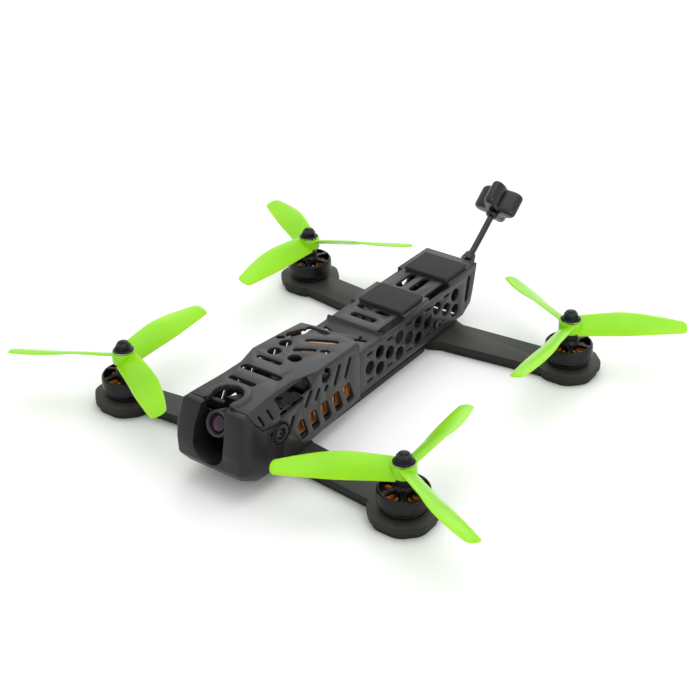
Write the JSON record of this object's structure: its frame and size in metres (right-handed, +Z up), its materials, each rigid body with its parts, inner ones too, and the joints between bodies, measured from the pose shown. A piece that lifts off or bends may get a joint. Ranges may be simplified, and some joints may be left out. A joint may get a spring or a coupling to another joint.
{
  "type": "quadcopter drone",
  "caption": "Small racing quadcopter with a long perforated body, crossing arms, four spinning three-blade propellers, a tilting nose camera and a tail antenna.",
  "frame": {"origin": "midway between the four motor axes, on the underside of the belly plate, which is the plane the arms stand on", "axes": "+Z up, -Y towards the nose and camera, +X towards the aircraft's left side"},
  "size_m": [0.2944, 0.272, 0.0748],
  "materials": {
    "carbon_arm": "matte carbon composite",
    "carbon_plate": "satin carbon composite",
    "twill_shell": "satin fine twill",
    "nose_plastic": "matte moulded",
    "blade_green": "neon green, slightly translucent",
    "anodised": "black anodised",
    "copper": "enamelled copper",
    "steel": "plain steel",
    "black_steel": "black oxide",
    "deck_rubber": "matte",
    "camera_plastic": "fine matte",
    "lens_glass": "purple coated",
    "circuit_board": "solder mask",
    "amber_tape": "amber film",
    "module_casing": "matte",
    "antenna_plastic": "gloss black"
  },
  "bodies": {
    "airframe": {"front_arm_lower": "carbon_arm", "front_arm_upper": "carbon_arm", "rear_arm_lower": "carbon_arm", "rear_arm_upper": "carbon_arm", "belly_plate": "carbon_plate", "base_plate": "carbon_plate", "nose_bumper": "nose_plastic", "front_canopy": "twill_shell", "tail_pod": "twill_shell", "battery_pad_front": "deck_rubber", "battery_pad_rear": "deck_rubber", "pod_spacer": "steel", "pod_screw_left": "steel", "pod_screw_right": "steel", "stack_post_1": "steel", "stack_post_2": "steel", "stack_post_3": "steel", "stack_post_4": "steel", "esc_board": "circuit_board", "flight_controller": "circuit_board", "receiver": "circuit_board", "copper_heat_spreader": "copper", "tape_wrapped_regulator": "amber_tape", "video_transmitter": "module_casing", "capacitor": "module_casing", "antenna_boot": "antenna_plastic", "antenna_stem": "antenna_plastic", "antenna_collar": "antenna_plastic", "antenna_head": "antenna_plastic", "motor_base_front_left": "anodised", "stator_front_left": "copper", "motor_base_front_right": "anodised", "stator_front_right": "copper", "motor_base_rear_left": "anodised", "stator_rear_left": "copper", "motor_base_rear_right": "anodised", "stator_rear_right": "copper"},
    "camera": {"camera_body": "camera_plastic", "lens_barrel": "camera_plastic", "lens_glass": "lens_glass", "camera_screw_left": "steel", "camera_screw_right": "steel"},
    "rotor_front_left": {"bell_front_left": "anodised", "shaft_front_left": "steel", "nut_front_left": "black_steel", "propeller_front_left": "blade_green"},
    "rotor_front_right": {"bell_front_right": "anodised", "shaft_front_right": "steel", "nut_front_right": "black_steel", "propeller_front_right": "blade_green"},
    "rotor_rear_left": {"bell_rear_left": "anodised", "shaft_rear_left": "steel", "nut_rear_left": "black_steel", "propeller_rear_left": "blade_green"},
    "rotor_rear_right": {"bell_rear_right": "anodised", "shaft_rear_right": "steel", "nut_rear_right": "black_steel", "propeller_rear_right": "blade_green"}
  },
  "joints": [
    {"name": "camera_tilt", "type": "hinge", "parent": "airframe", "child": "camera", "pos_m": [0, -0.091, 0.0286], "axis": [-1, 0, 0], "range_deg": [-20, 15]},
    {"name": "rotor_spin_front_left", "type": "hinge", "parent": "airframe", "child": "rotor_front_left", "pos_m": [0.09, -0.0815, 0.02], "axis": [0, 0, 1], "continuous": true},
    {"name": "rotor_spin_front_right", "type": "hinge", "parent": "airframe", "child": "rotor_front_right", "pos_m": [-0.09, -0.0815, 0.02], "axis": [0, 0, 1], "continuous": true},
    {"name": "rotor_spin_rear_left", "type": "hinge", "parent": "airframe", "child": "rotor_rear_left", "pos_m": [0.09, 0.0815, 0.02], "axis": [0, 0, 1], "continuous": true},
    {"name": "rotor_spin_rear_right", "type": "hinge", "parent": "airframe", "child": "rotor_rear_right", "pos_m": [-0.09, 0.0815, 0.02], "axis": [0, 0, 1], "continuous": true}
  ]
}
